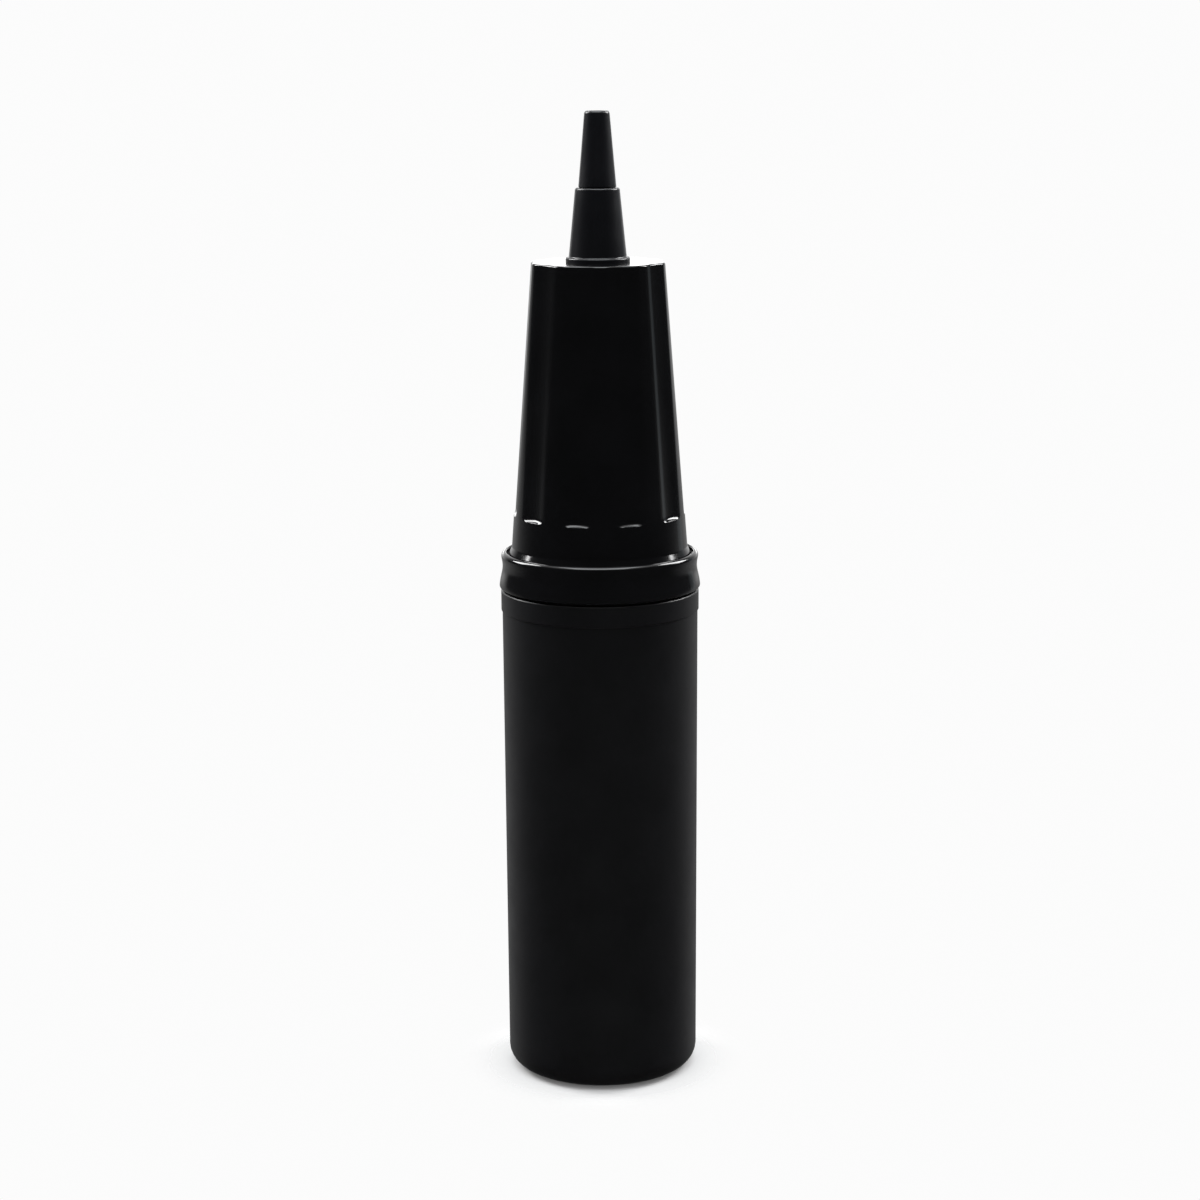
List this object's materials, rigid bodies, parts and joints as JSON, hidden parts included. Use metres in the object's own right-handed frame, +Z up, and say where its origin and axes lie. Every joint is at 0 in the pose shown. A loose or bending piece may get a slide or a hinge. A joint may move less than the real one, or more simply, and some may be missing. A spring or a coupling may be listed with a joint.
{
  "type": "ball inflation pump",
  "caption": "Upright black hand pump for bouncy toys and balls: straight barrel, waisted collar, fluted tapered grip on a hollow plunger, and a stepped push-in nozzle on top.",
  "frame": {"origin": "centre of the face that the barrel stands on", "axes": "+Z up along the pump's own axis, from the barrel to the nozzle; the pump is round, so +X and +Y are any two directions across it"},
  "size_m": [0.0353, 0.0352, 0.17],
  "materials": {
    "glossy_black_plastic": "glossy moulded black",
    "satin_black_plastic": "satin moulded black",
    "nozzle_black_plastic": "satin, slightly blue black",
    "black_rubber": "matte",
    "white_plastic": "natural, unpainted"
  },
  "bodies": {
    "barrel_body": {"barrel": "satin_black_plastic", "base_valve_cage": "white_plastic", "barrel_gasket": "black_rubber", "collar_cap": "glossy_black_plastic", "collar_guide_bush": "white_plastic", "collar_ring_retainer": "white_plastic"},
    "inlet_disc": {"base_valve_disc": "black_rubber"},
    "rod_seal_ring": {"collar_ring": "black_rubber"},
    "piston": {"piston_body": "white_plastic"},
    "bore_seal_ring": {"piston_ring": "black_rubber"},
    "plunger": {"rod_tube": "satin_black_plastic", "rod_bumper": "black_rubber", "head_shell": "glossy_black_plastic", "head_base": "satin_black_plastic", "nozzle_cone": "nozzle_black_plastic", "nozzle_seal": "black_rubber"},
    "tip": {"nozzle_tip": "nozzle_black_plastic"}
  },
  "joints": [
    {"name": "plunger_stroke", "type": "slide", "parent": "barrel_body", "child": "piston", "axis": [0, 0, 1], "range_m": [0, 0.0616]},
    {"name": "plunger_spin", "type": "hinge", "parent": "piston", "child": "plunger", "pos_m": [0, 0, 0.03], "axis": [0, 0, 1], "continuous": true},
    {"name": "piston_ring_float", "type": "slide", "parent": "piston", "child": "bore_seal_ring", "axis": [0, 0, 1], "range_m": [0, 0.0013]},
    {"name": "collar_ring_float", "type": "slide", "parent": "barrel_body", "child": "rod_seal_ring", "axis": [0, 0, 1], "range_m": [0, 0.0013]},
    {"name": "inlet_disc_lift", "type": "slide", "parent": "barrel_body", "child": "inlet_disc", "axis": [0, 0, 1], "range_m": [0, 0.0011]},
    {"name": "tip_pull", "type": "slide", "parent": "plunger", "child": "tip", "axis": [0, 0, 1], "range_m": [0, 0.015]}
  ]
}
